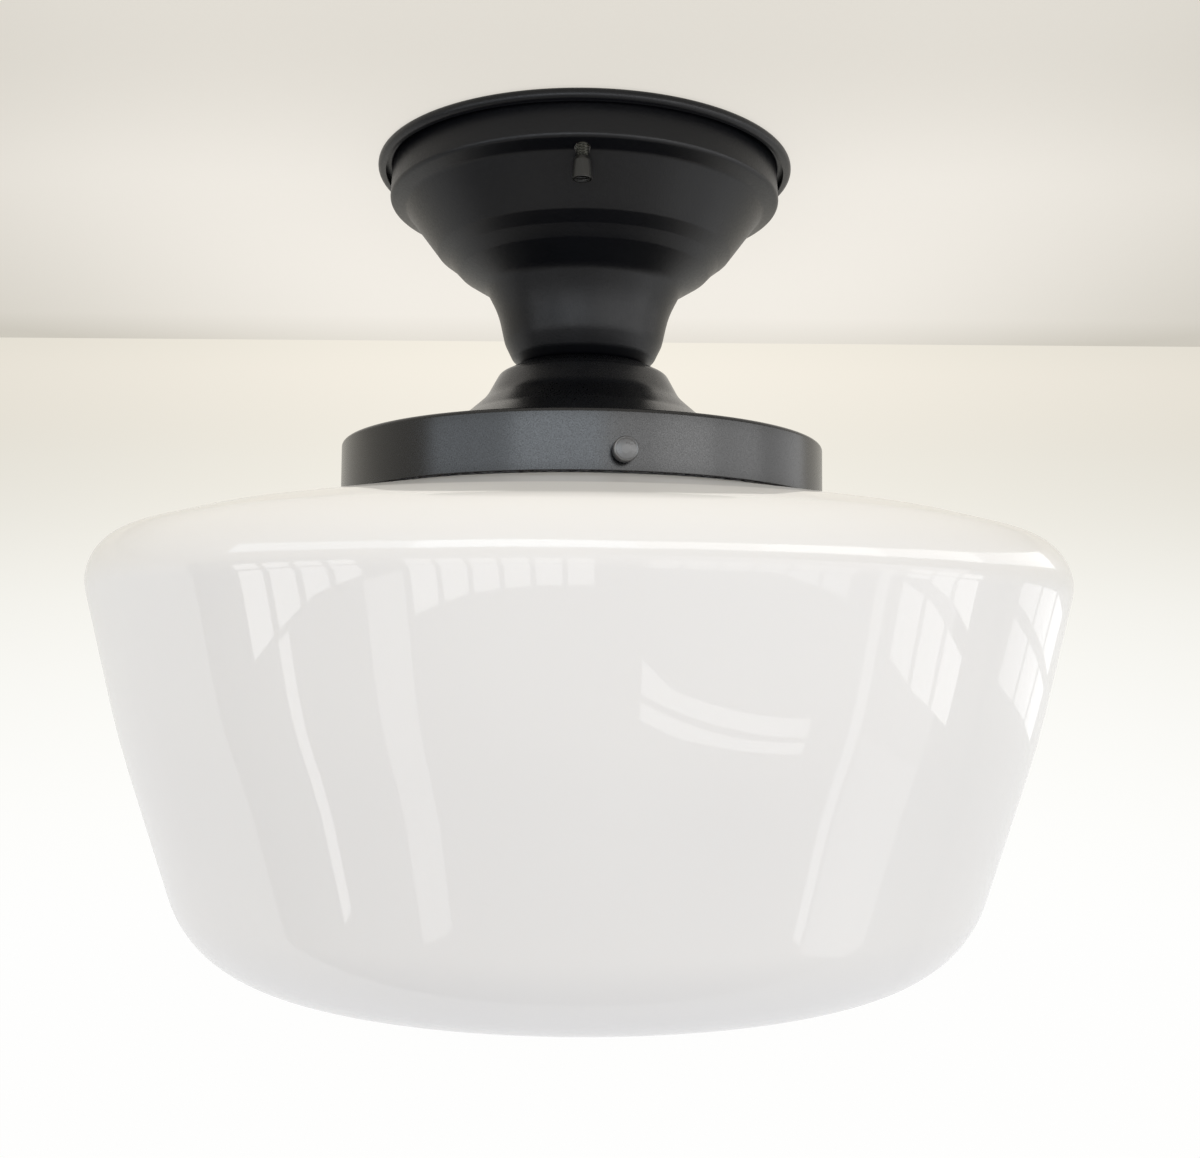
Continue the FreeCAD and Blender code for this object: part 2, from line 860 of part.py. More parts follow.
def main():
    os.makedirs("parts", exist_ok=True)
    save("canopy", canopy())
    save("ceiling_strap", strap())
    save("ground_screw", ground_screw())
    save("canopy_studs", canopy_studs())
    save("barrel_nut_front", barrel_nut(-1))
    save("barrel_nut_back", barrel_nut(1))
    save("threaded_tube", threaded_tube())
    save("tube_top_washer", flat_washer(neck_floor))
    save("tube_ring_terminal", tube_ring_terminal())
    save("tube_top_nut", hexagon_nut(ring_top, tube_radius + running_gap))
    save("strap_ring_terminal", strap_ring_terminal())
    save("ground_lead", ground_lead())
    save("black_lead", supply_lead(1))
    save("white_lead", supply_lead(-1))
    save("wire_connectors", wire_connectors())
    save("shade_holder", shade_holder())
    save("holder_washer", flat_washer(lower_washer_base))
    save("holder_nut", hexagon_nut(cap_top, tube_radius + running_gap))
    save("screw_bushes", screw_bushes())
    for number, turn in enumerate(screw_turns(), start=1):
        save("thumb_screw_" + str(number), thumb_screw(turn))
    save("glass_shade", glass_shade())
    save("lampholder_cap", lampholder_cap())
    save("cap_hub", cap_hub())
    save("cap_screws", cap_screws())
    save("porcelain_body", porcelain_body())
    save("contact_rivet", contact_rivet())
    save("screw_shell", screw_shell())
    save("contact_leaf", contact_leaf())
    save("bulb_contact", bulb_contact())
    save("bulb_insulator", bulb_insulator())
    save("bulb_cap", bulb_cap())
    save("bulb_collar", bulb_collar())
    save("bulb_globe", bulb_globe())


main()
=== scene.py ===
import math

import bmesh
import bpy
from mathutils import Matrix, Vector


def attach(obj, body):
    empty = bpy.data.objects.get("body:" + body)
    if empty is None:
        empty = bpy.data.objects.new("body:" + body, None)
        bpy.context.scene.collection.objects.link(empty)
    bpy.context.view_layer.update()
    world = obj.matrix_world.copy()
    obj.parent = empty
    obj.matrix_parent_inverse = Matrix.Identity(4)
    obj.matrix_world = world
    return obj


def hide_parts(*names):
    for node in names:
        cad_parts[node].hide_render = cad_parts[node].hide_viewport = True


# A black semi flush ceiling light with an opal glass shade, seen from a little below.
# Sizes are in millimetres in the light's own frame: origin on the ceiling, +Z up, front to -Y.
# A bend is (radius from the axis, height, rounding).

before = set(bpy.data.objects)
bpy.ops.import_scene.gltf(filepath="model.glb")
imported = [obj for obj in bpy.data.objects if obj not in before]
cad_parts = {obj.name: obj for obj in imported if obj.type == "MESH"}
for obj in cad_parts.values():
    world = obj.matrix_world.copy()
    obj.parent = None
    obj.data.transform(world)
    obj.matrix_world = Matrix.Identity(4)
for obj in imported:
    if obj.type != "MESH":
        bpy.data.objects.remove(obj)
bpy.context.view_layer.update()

MM = 0.001                  # a millimetre in metres

# Canopy, its studs and the threaded tube
canopy_sheet = 0.9
canopy_depth = 66.3
neck_base = -canopy_depth
stud_radius = 1.75
stud_offset = 59.4          # from the axis, one in front and one behind
stud_hole_radius = 2.3
tube_radius = 5.0
running_gap = 0.05          # between the tube and what it passes through

# Shade holder and its thumb screws
holder_sheet = 0.95
band_radius = 78.0
band_top = -94.6
band_base = -112.0
screw_radius = 2.0
screw_height = -106.6
screw_turns = (9.0, 129.0, 249.0)
holder_hole_radius = 2.95

# Fine threads
threads_per_metre = 1250.0

# Making of the meshes
shortest_step = 0.004       # points of an outline that are nearer than this are one
on_the_axis = 1e-6


# ---------------------------------------------------------------- outlines and turned pieces

def corner_arc(before, corner, after, rounding, step=5.0):
    """Points along the arc that rounds a corner."""
    back = (before - corner).normalized()
    ahead = (after - corner).normalized()
    opening = back.angle(ahead)
    if rounding <= 0 or opening > math.radians(179):
        return [corner]
    reach = rounding / math.tan(opening / 2)
    centre = corner + (back + ahead).normalized() * (rounding / math.sin(opening / 2))
    start = corner + back * reach - centre
    turn = math.pi - opening
    count = max(2, math.ceil(math.degrees(turn) / step))
    side = 1 if start.x * (corner - centre).y - start.y * (corner - centre).x > 0 else -1
    points = []
    for index in range(count + 1):
        angle = side * turn * index / count
        points.append(centre + Vector((start.x * math.cos(angle) - start.y * math.sin(angle),
                                       start.x * math.sin(angle) + start.y * math.cos(angle))))
    return points


def outline(bends, step=5.0):
    """Points of a closed outline through the bends, with each rounding as an arc."""
    corners = [Vector((bend[0], bend[1])) for bend in bends]
    points = []
    count = len(corners)
    for index, corner in enumerate(corners):
        points += corner_arc(corners[index - 1], corner, corners[(index + 1) % count],
                             bends[index][2], step)
    apart = []
    for point in points:
        if not apart or (point - apart[-1]).length > shortest_step:
            apart.append(point)
    return apart


def offset_bends(bends, thickness):
    """The same bends on the other face of a sheet, to the right of the direction of travel."""
    corners = [Vector((bend[0], bend[1])) for bend in bends]
    steps = [(corners[i + 1] - corners[i]).normalized() for i in range(len(corners) - 1)]
    shifted = []
    for index, bend in enumerate(bends):
        before = steps[max(index - 1, 0)]
        after = steps[min(index, len(steps) - 1)]
        side = Vector((before.y + after.y, -before.x - after.x)).normalized()
        point = corners[index] + side * (thickness / side.dot(Vector((before.y, -before.x))))
        turn = before.y * after.x - before.x * after.y
        rounding = bend[2]
        if rounding > 0:
            rounding += -thickness if turn > 0 else thickness
        shifted.append((point.x, point.y, max(rounding, 0)))
    return shifted


def sheet_bends(bends, thickness):
    """The closed outline of a sheet from the bends of its outer face."""
    return bends + offset_bends(bends, thickness)[::-1]


def divided(points, longest):
    """The outline with long straight runs divided, so that turned faces stay even."""
    closed = points + [points[0]]
    result = []
    for start, end in zip(closed, closed[1:]):
        parts = max(1, math.ceil((end - start).length / longest))
        for part in range(parts):
            result.append(start.lerp(end, part / parts))
    return result


def in_scene(name, data):
    """A new object in the scene, at the origin."""
    piece = bpy.data.objects.new(name, data)
    bpy.context.scene.collection.objects.link(piece)
    return piece


def object_from(make, name):
    """A piece whose faces make(mesh under construction) adds, with its normals outwards."""
    mesh = bpy.data.meshes.new(name)
    made = bmesh.new()
    make(made)
    bmesh.ops.remove_doubles(made, verts=made.verts, dist=1e-7)
    bmesh.ops.recalc_face_normals(made, faces=made.faces)
    made.to_mesh(mesh)
    made.free()
    return in_scene(name, mesh)


def turned(name, bends, sides=96, step=5.0, longest=1000.0):
    """Closed piece turned about Z from the closed outline of its bends."""
    points = divided(outline(bends, step), longest)
    angles = [2 * math.pi * s / sides for s in range(sides)]

    def make(made):
        rings = []
        for point in points:
            if abs(point.x) < on_the_axis:
                rings.append([made.verts.new((0, 0, point.y * MM))] * sides)
            else:
                reach = point.x * MM
                rings.append([made.verts.new((reach * math.cos(angle), reach * math.sin(angle),
                                              point.y * MM)) for angle in angles])
        for low, high in zip(rings, rings[1:] + rings[:1]):
            for s in range(sides):
                t = (s + 1) % sides
                corners = []
                for vertex in (low[s], low[t], high[t], high[s]):
                    if vertex not in corners:
                        corners.append(vertex)
                if len(corners) > 2:
                    made.faces.new(corners)

    return smooth(object_from(make, name))


def smooth(piece):
    """Smooth shading, with the real edges kept sharp."""
    piece.data.shade_smooth()
    piece.data.set_sharp_from_angle(angle=math.radians(32.0))
    return piece


def place(piece, matrix):
    """Moves a piece's mesh, so that its object stays at the origin."""
    piece.data.transform(matrix)
    return piece


def moved(x=0.0, y=0.0, z=0.0):
    return Matrix.Translation((x * MM, y * MM, z * MM))


def outwards(turn, height):
    """From a piece made along +Z at the origin to one that points out of the band."""
    return (moved(z=height) @ Matrix.Rotation(math.radians(turn - 90), 4, "Z")
            @ Matrix.Rotation(math.radians(90), 4, "Y"))


def made_plain(piece):
    """Puts a piece's modifiers into its mesh."""
    evaluated = piece.evaluated_get(bpy.context.evaluated_depsgraph_get())
    mesh = bpy.data.meshes.new_from_object(evaluated)
    mesh.name = piece.name
    old = piece.data
    piece.modifiers.clear()
    piece.data = mesh
    bpy.data.meshes.remove(old)
    return piece


def combined(piece, tool, operation="DIFFERENCE"):
    """Cuts a piece with a tool piece, or keeps what both share."""
    modifier = piece.modifiers.new("cut", "BOOLEAN")
    modifier.operation = operation
    modifier.solver = "EXACT"
    modifier.object = tool
    made_plain(piece)
    bpy.data.objects.remove(tool)
    return smooth(piece)


def joined(name, pieces):
    """One piece from several."""
    def make(made):
        for piece in pieces:
            made.from_mesh(piece.data)
    result = object_from(make, name)
    for piece in pieces:
        bpy.data.objects.remove(piece)
    return smooth(result)


def block(name, low, high):
    """Box between two corners."""
    def make(made):
        bmesh.ops.create_cube(made, size=1.0)
        size = Vector(high) - Vector(low)
        for vertex in made.verts:
            vertex.co = Vector([(low[i] + (vertex.co[i] + 0.5) * size[i]) * MM for i in range(3)])
    return object_from(make, name)


def softened(piece, width, segments=2, angle=40.0):
    """Rounds the sharp edges of a piece."""
    modifier = piece.modifiers.new("edges", "BEVEL")
    modifier.width = width * MM
    modifier.segments = segments
    modifier.limit_method = "ANGLE"
    modifier.angle_limit = math.radians(angle)
    modifier.harden_normals = False
    return smooth(made_plain(piece))


# ---------------------------------------------------------------- node recipes

class Recipe:
    """A Geometry Nodes tree with named sizes."""

    def __init__(self, name, **sizes):
        self.tree = bpy.data.node_groups.new(name, "GeometryNodeTree")
        self.names = {}
        face = self.tree.interface
        face.new_socket("Piece", in_out="INPUT", socket_type="NodeSocketGeometry")
        kinds = {int: "NodeSocketInt", float: "NodeSocketFloat"}
        for label, value in sizes.items():
            socket = face.new_socket(label, in_out="INPUT", socket_type=kinds[type(value)])
            socket.default_value = value
            self.names[label] = socket.identifier
        finish = face.new_socket("Finish", in_out="INPUT", socket_type="NodeSocketMaterial")
        self.names["Finish"] = finish.identifier
        face.new_socket("Piece", in_out="OUTPUT", socket_type="NodeSocketGeometry")
        self.given = self.tree.nodes.new("NodeGroupInput").outputs

    def add(self, kind, *sources, **settings):
        """A node with its settings, its inputs filled in order."""
        node = self.tree.nodes.new(kind)
        for key, value in settings.items():
            setattr(node, key, value)
        for socket, source in zip(node.inputs, sources):
            if source is None:
                continue
            if isinstance(source, bpy.types.NodeSocket):
                self.tree.links.new(source, socket)
            else:
                socket.default_value = source
        return node

    def math(self, operation, *sources):
        return self.add("ShaderNodeMath", *sources, operation=operation).outputs[0]

    def end(self, geometry):
        """Ends the tree in real geometry with its finish."""
        real = self.add("GeometryNodeRealizeInstances", geometry)
        painted = self.add("GeometryNodeSetMaterial", real.outputs[0], None, self.given["Finish"])
        self.add("NodeGroupOutput", painted.outputs[0])

    def use(self, piece, finish, **sizes):
        """Runs the recipe on a piece and puts the result into its mesh."""
        modifier = piece.modifiers.new("recipe", "NODES")
        modifier.node_group = self.tree
        modifier[self.names["Finish"]] = finish
        for label, value in sizes.items():
            modifier[self.names[label]] = value
        return smooth(made_plain(piece))


def groove_recipe():
    """Cuts even grooves into the turned face at a radius: helical, straight or both."""
    recipe = Recipe("grooves", Radius=0.001, Depth=0.0001, Per_metre=1000.0, Around=1,
                    From=-1.0, To=1.0)
    given = recipe.given
    spot = recipe.add("GeometryNodeInputPosition").outputs[0]
    parts = recipe.add("ShaderNodeSeparateXYZ", spot).outputs
    flat = recipe.add("ShaderNodeCombineXYZ", parts[0], parts[1], 0.0).outputs[0]
    reach = recipe.add("ShaderNodeVectorMath", flat, operation="LENGTH").outputs["Value"]
    near = recipe.math("COMPARE", reach, given["Radius"], 0.02 * MM)
    above = recipe.math("GREATER_THAN", parts[2], given["From"])
    below = recipe.math("LESS_THAN", parts[2], given["To"])
    chosen = recipe.math("MULTIPLY", near, recipe.math("MULTIPLY", above, below))
    angle = recipe.math("DIVIDE", recipe.math("ARCTAN2", parts[1], parts[0]), 2 * math.pi)
    phase = recipe.math("ADD", recipe.math("MULTIPLY", parts[2], given["Per_metre"]),
                        recipe.math("MULTIPLY", angle, given["Around"]))
    wave = recipe.math("MULTIPLY", recipe.math("PINGPONG", phase, 0.5), 2.0)
    depth = recipe.math("MULTIPLY", recipe.math("MULTIPLY", wave, given["Depth"]), -1.0)
    out = recipe.add("ShaderNodeVectorMath", flat, operation="NORMALIZE").outputs[0]
    push = recipe.add("ShaderNodeVectorMath", out, operation="SCALE")
    recipe.tree.links.new(depth, push.inputs["Scale"])
    cut = recipe.add("GeometryNodeSetPosition", given["Piece"], chosen, None, push.outputs[0])
    recipe.end(cut.outputs[0])
    return recipe


def round_recipe():
    """Sets copies of a piece evenly round the axis, each turned to face out."""
    recipe = Recipe("set_round", Count=2, Radius=0.01, First_turn=0.0)
    given = recipe.given
    points = recipe.add("GeometryNodePoints", given["Count"]).outputs[0]
    index = recipe.add("GeometryNodeInputIndex").outputs[0]
    share = recipe.math("DIVIDE", index, given["Count"])
    angle = recipe.math("ADD", recipe.math("MULTIPLY", share, 2 * math.pi), given["First_turn"])
    x = recipe.math("MULTIPLY", recipe.math("COSINE", angle), given["Radius"])
    y = recipe.math("MULTIPLY", recipe.math("SINE", angle), given["Radius"])
    spot = recipe.add("ShaderNodeCombineXYZ", x, y, 0.0).outputs[0]
    spread = recipe.add("GeometryNodeSetPosition", points, None, spot).outputs[0]
    turn = recipe.add("ShaderNodeCombineXYZ", 0.0, 0.0, angle).outputs[0]
    copies = recipe.add("GeometryNodeInstanceOnPoints", spread, None, given["Piece"],
                        None, None, turn)
    recipe.end(copies.outputs[0])
    return recipe


# ---------------------------------------------------------------- finishes

class Finish:
    """A material under construction, with short ways to add and join its nodes."""

    def __init__(self, name, **sockets):
        self.material = bpy.data.materials.new(name)
        self.material.use_nodes = True
        self.tree = self.material.node_tree
        self.shader = self.tree.nodes["Principled BSDF"]
        self.place = self.add("ShaderNodeTexCoord").outputs["Object"]
        for socket, value in sockets.items():
            self.shader.inputs[socket.replace("_", " ")].default_value = value

    def add(self, kind, **settings):
        node = self.tree.nodes.new(kind)
        for key, value in settings.items():
            setattr(node, key, value)
        return node

    def put(self, source, target):
        """Joins a socket, or sets a plain value."""
        if hasattr(source, "default_value") or hasattr(source, "links"):
            self.tree.links.new(source, target)
        else:
            target.default_value = source

    def noise(self, scale, detail=2.0, roughness=0.5, stretch=None):
        """Uneven pattern; scale is in spots per metre."""
        node = self.add("ShaderNodeTexNoise")
        node.inputs["Scale"].default_value = scale
        node.inputs["Detail"].default_value = detail
        node.inputs["Roughness"].default_value = roughness
        source = self.place
        if stretch:
            mapping = self.add("ShaderNodeMapping")
            mapping.inputs["Scale"].default_value = stretch
            self.tree.links.new(self.place, mapping.inputs["Vector"])
            source = mapping.outputs["Vector"]
        self.tree.links.new(source, node.inputs["Vector"])
        return node.outputs["Fac"]

    def math(self, operation, first, second=0.0):
        node = self.add("ShaderNodeMath", operation=operation)
        self.put(first, node.inputs[0])
        self.put(second, node.inputs[1])
        return node.outputs[0]

    def span(self, source, low, high, to_low, to_high, kind="LINEAR"):
        """Moves a range of values to another range."""
        node = self.add("ShaderNodeMapRange", interpolation_type=kind)
        self.put(source, node.inputs["Value"])
        node.inputs["From Min"].default_value = low
        node.inputs["From Max"].default_value = high
        node.inputs["To Min"].default_value = to_low
        node.inputs["To Max"].default_value = to_high
        return node.outputs["Result"]

    def colours(self, source, *stops, kind="LINEAR"):
        """Colour from a value, through stops of (position, colour)."""
        node = self.add("ShaderNodeValToRGB")
        self.put(source, node.inputs["Fac"])
        ramp = node.color_ramp
        ramp.interpolation = kind
        while len(ramp.elements) < len(stops):
            ramp.elements.new(0.5)
        for element, (position, colour) in zip(ramp.elements, stops):
            element.position = position
            element.color = (*colour, 1)
        return node.outputs["Color"]

    def axis(self, letter):
        node = self.add("ShaderNodeSeparateXYZ")
        self.tree.links.new(self.place, node.inputs["Vector"])
        return node.outputs[letter]

    def bump(self, height, strength, depth, under=None):
        """Relief from an uneven pattern, with its depth in millimetres."""
        node = self.add("ShaderNodeBump")
        node.inputs["Strength"].default_value = strength
        node.inputs["Distance"].default_value = depth * MM
        self.tree.links.new(height, node.inputs["Height"])
        if under is not None:
            self.tree.links.new(under, node.inputs["Normal"])
        return node.outputs["Normal"]

    def give(self, socket, source):
        self.tree.links.new(source, self.shader.inputs[socket])


def black_paint(name, roughness, grain, depth, colour=(0.0005, 0.0008, 0.0022), gloss=0.28,
                peel_depth=None):
    """Satin black powder coat with a fine grain."""
    finish = Finish(name, Specular_IOR_Level=gloss)
    broad = finish.noise(28, 3.0)
    lighter = tuple(c * 1.5 + 0.0006 for c in colour)
    finish.give("Base Color", finish.colours(broad, (0.3, colour), (0.75, lighter)))
    fine = finish.noise(grain, 3.0, 0.6)
    finish.give("Roughness", finish.span(fine, 0.3, 0.7, roughness - 0.05, roughness + 0.06))
    peel = finish.bump(finish.noise(grain * 0.35, 2.0), 0.35,
                       depth if peel_depth is None else peel_depth)
    finish.give("Normal", finish.bump(fine, 0.5, depth, peel))
    return finish.material


def opal_glass(name):
    """Cased opal glass: a white body under a clear, slightly uneven gloss."""
    finish = Finish(name, Roughness=0.32, Coat_Weight=0.62, Coat_Roughness=0.018, Coat_IOR=1.52,
                    Specular_IOR_Level=0.08, Subsurface_Weight=0.12, Subsurface_Scale=0.004)
    finish.shader.inputs["Subsurface Radius"].default_value = (1.0, 0.95, 0.9)
    cloud = finish.noise(9, 2.0, 0.5)
    finish.give("Base Color", finish.colours(cloud, (0.3, (0.858, 0.858, 0.872)),
                                             (0.7, (0.882, 0.884, 0.896))))
    wave = finish.bump(finish.noise(16, 1.0, 0.4, (1.0, 1.0, 0.45)), 0.5, 0.55)
    finish.give("Coat Normal", wave)
    return finish.material


def plated(name, colour, roughness, metallic=1.0, scale=300.0):
    """Plated or bare metal with fine drawn marks and patches of dullness."""
    finish = Finish(name, Metallic=metallic)
    patches = finish.noise(scale, 4.0, 0.6)
    darker = tuple(c * 0.78 for c in colour)
    finish.give("Base Color", finish.colours(patches, (0.3, darker), (0.7, colour)))
    marks = finish.noise(scale * 4, 3.0, 0.6, (1.0, 1.0, 0.15))
    finish.give("Roughness", finish.span(marks, 0.3, 0.7, roughness - 0.07, roughness + 0.1))
    finish.give("Normal", finish.bump(marks, 0.25, 0.03))
    return finish.material


def moulded(name, colour, roughness, scale=500.0, depth=0.02):
    """Moulded plastic or insulation, with a faint texture."""
    finish = Finish(name, Specular_IOR_Level=0.5)
    patches = finish.noise(scale * 0.2, 3.0)
    darker = tuple(c * 0.86 for c in colour)
    finish.give("Base Color", finish.colours(patches, (0.3, darker), (0.7, colour)))
    skin = finish.noise(scale, 3.0, 0.6)
    finish.give("Roughness", finish.span(skin, 0.3, 0.7, roughness - 0.05, roughness + 0.08))
    finish.give("Normal", finish.bump(skin, 0.3, depth))
    return finish.material


def glazed(name, colour):
    """Glazed porcelain with a soft ripple and a few specks."""
    finish = Finish(name, Roughness=0.35, Coat_Weight=0.8, Coat_Roughness=0.06)
    specks = finish.noise(700, 1.0, 0.3)
    speck_colour = tuple(c * 0.75 for c in colour)
    finish.give("Base Color", finish.colours(specks, (0.24, speck_colour), (0.32, colour)))
    finish.give("Normal", finish.bump(finish.noise(90, 2.0), 0.3, 0.15))
    return finish.material


canopy_paint = black_paint("canopy_paint", 0.38, 1500.0, 0.05)
holder_paint = black_paint("holder_paint", 0.25, 2600.0, 0.003, (0.0006, 0.0010, 0.0024), 0.55,
                           0.001)
screw_paint = black_paint("screw_paint", 0.30, 900.0, 0.10, (0.028, 0.029, 0.031), 1.0)
nut_paint = black_paint("nut_paint", 0.34, 1500.0, 0.04, (0.0080, 0.0080, 0.0068), 0.5)
thread_steel = plated("thread_steel", (0.055, 0.055, 0.046), 0.34, 0.8)
shade_glass = opal_glass("shade_glass")
zinc = plated("zinc_plate", (0.60, 0.61, 0.62), 0.34)
aluminium = plated("spun_aluminium", (0.72, 0.72, 0.73), 0.30)
tinned = plated("tinned_copper", (0.74, 0.73, 0.70), 0.28)
brass = plated("worn_brass", (0.72, 0.52, 0.22), 0.30)
solder = plated("soft_solder", (0.62, 0.62, 0.62), 0.40)
green_dye = black_paint("green_dye", 0.35, 1500.0, 0.02, (0.020, 0.16, 0.050))
green_skin = moulded("green_insulation", (0.03, 0.25, 0.07), 0.42)
black_skin = moulded("black_insulation", (0.018, 0.018, 0.018), 0.42)
white_skin = moulded("white_insulation", (0.74, 0.74, 0.71), 0.42)
orange_cap = moulded("orange_cap", (0.80, 0.19, 0.02), 0.30)
porcelain = glazed("porcelain_glaze", (0.82, 0.81, 0.77))
bulb_white = moulded("bulb_housing", (0.80, 0.80, 0.78), 0.30)
bulb_black = moulded("bulb_insulator_glass", (0.02, 0.02, 0.024), 0.12)
bulb_frost = moulded("bulb_frost", (0.86, 0.85, 0.81), 0.38, 900.0, 0.01)


def fit(piece, body, material, node):
    """Gives a finished piece its material and its body, and hides the CAD node it stands for."""
    piece.data.materials.clear()
    piece.data.materials.append(material)
    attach(piece, body)
    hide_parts(node)


# ---------------------------------------------------------------- canopy and shade holder

def canopy_piece():
    """Spun bell with a curled rim and two holes for the studs."""
    outside = [
        (65.75, -2.5, 0),
        (67.3, -2.5, 0.7),
        (67.3, -0.9, 0.7),
        (63.4, -0.9, 0.7),
        (64.2, -12.9, 1.5),
        (59.0, -14.8, 2.5),
        (48.4, -28.9, 2.0),
        (44.5, -31.8, 2.0),
        (41.2, -35.3, 2.4),
        (32.3, -40.8, 6.0),
        (28.2, -48.7, 30.0),
        (26.0, neck_base + 7.6, 10.0),
        (23.5, neck_base + 2.5, 3.4),
        (20.6, neck_base, 2.0),
        (tube_radius + running_gap, neck_base, 0),
    ]
    piece = turned("canopy_shell", sheet_bends(outside, canopy_sheet), 240, 5.0, 3.0)
    for side in (-1, 1):
        tool = turned("hole", [(0, -30, 0), (stud_hole_radius, -30, 0),
                               (stud_hole_radius, -4.0, 0), (0, -4.0, 0)], 48)
        piece = combined(piece, place(tool, moved(y=side * stud_offset)))
    fit(piece, "fixture", canopy_paint, "canopy")


def holder_piece():
    """Cap that flares out into the band, with three holes for the screw bushes."""
    outside = [
        (tube_radius + running_gap, neck_base, 0),
        (21.0, neck_base, 6.0),
        (27.7, neck_base - 3.4, 3.7),
        (31.9, neck_base - 11.2, 12.0),
        (38.4, neck_base - 17.0, 12.0),
        (49.8, neck_base - 23.8, 15.0),
        (band_radius, band_top, 1.3),
        (band_radius, band_base, 0),
    ]
    bends = sheet_bends(outside, holder_sheet)
    bends = [(r, z, 0.22 if abs(z - band_base) < 0.01 else rounding) for r, z, rounding in bends]
    piece = turned("holder_shell", bends, 240, 5.0, 4.0)
    for turn in screw_turns:
        tool = turned("hole", [(0, 70, 0), (holder_hole_radius, 70, 0),
                               (holder_hole_radius, 90, 0), (0, 90, 0)], 48)
        piece = combined(piece, place(tool, outwards(turn, screw_height)))
    fit(piece, "fixture", holder_paint, "shade_holder")


# ---------------------------------------------------------------- glass

def glass_piece():
    """Closed schoolhouse shade with a lip that the thumb screws hold."""
    glass_wall = 3.3
    lip_radius = 74.4
    neck_radius = 72.9
    glass_top = -96.6
    outside = [
        (lip_radius, glass_top, 1.2),
        (lip_radius, glass_top - 2.2, 0.8),
        (neck_radius, -104.2, 1.0),
        (neck_radius, band_base + 0.3, 3.0),
        (126.6, band_base - 10.0, 30.0),
        (155.6, band_base - 18.3, 15.5),
        (142.0, band_base - 75.0, 260.0),
        (120.3, band_base - 141.2, 36.0),
        (78.8, band_base - 150.8, 120.0),
        (22.0, band_base - 158.0, 250.0),
        (0, band_base - 158.0, 0),
    ]
    inside = offset_bends(outside, glass_wall)
    inside[0] = (inside[0][0], glass_top, 1.2)
    piece = turned("shade_of_glass", outside + inside[::-1], 224, 2.5, 6.0)
    fit(piece, "shade", shade_glass, "glass_shade")


# ---------------------------------------------------------------- studs, nuts and screws

def stud_pieces():
    """Two threaded studs, one each side, with a real helix."""
    stud_end = -20.6
    rod = turned("stud_threads", [(0, stud_end, 0), (stud_radius, stud_end, 0),
                                  (stud_radius, 0, 0), (0, 0, 0)], 28, 5.0, 0.1)
    grooves.use(rod, thread_steel, Radius=stud_radius * MM, Depth=0.35 * MM,
                Per_metre=threads_per_metre)
    set_round.use(rod, thread_steel, Count=2, Radius=stud_offset * MM, First_turn=math.pi / 2)
    fit(rod, "fixture", thread_steel, "canopy_studs")


def barrel_nut_piece(side, word):
    """Turned nut with a cone above, a plain barrel and its thread inside."""
    nut = turned("barrel_nut_" + word + "_turned", [
        (1.80, -17.5, 0.1),
        (2.15, -17.5, 0.2),
        (2.62, -18.7, 0.5),
        (2.9, -24.1, 0.14),
        (2.2, -24.1, 0.14),
        (2.2, -20.3, 0),
        (1.80, -20.3, 0),
    ], 56, 10.0, 0.15)
    grooves.use(nut, nut_paint, Radius=2.2 * MM, Depth=-0.16 * MM,
                Per_metre=threads_per_metre, From=-23.8 * MM, To=-20.5 * MM)
    place(nut, moved(y=side * stud_offset))
    fit(nut, "barrel_nut_" + word, nut_paint, "barrel_nut_" + word)


def thumb_screw_piece(number, turn):
    """Round headed screw: ridged edge, chamfered rim and a slightly domed rough face."""
    name = "thumb_screw_" + str(number)
    head_radius = 3.55
    screw = turned(name + "_turned", [
        (0, 73.15, 0),
        (1.5, 73.15, 0.2),
        (screw_radius, 73.7, 0),
        (screw_radius, 79.7, 0),
        (2.5, 79.9, 0.1),
        (3.3, 79.9, 0.1),
        (head_radius, 80.15, 0),
        (head_radius, 82.45, 0),
        (3.25, 82.78, 0.08),
        (3.0, 82.72, 0.1),
        (2.7, 82.82, 0.3),
        (1.3, 82.97, 2.0),
        (0, 83.0, 0),
    ], 168, 8.0, 0.12)
    grooves.use(screw, screw_paint, Radius=screw_radius * MM, Depth=0.3 * MM,
                Per_metre=threads_per_metre, From=73.75 * MM, To=79.6 * MM)
    grooves.use(screw, screw_paint, Radius=head_radius * MM, Depth=0.09 * MM, Per_metre=0.0,
                Around=42)
    place(screw, outwards(turn, screw_height))
    fit(screw, name, screw_paint, name)


def bush_pieces():
    """Bushes riveted in the band, one for each thumb screw."""
    bushes = []
    for turn in screw_turns:
        bush = turned("bush", [
            (2.05, 75.05, 0.15),
            (3.5, 75.05, 0.2),
            (3.5, 76.9, 0.1),
            (2.9, 76.9, 0),
            (2.9, 77.9, 0.15),
            (2.05, 77.9, 0.15),
        ], 48, 15.0)
        bushes.append(place(bush, outwards(turn, screw_height)))
    fit(joined("screw_bushes_turned", bushes), "fixture", zinc, "screw_bushes")


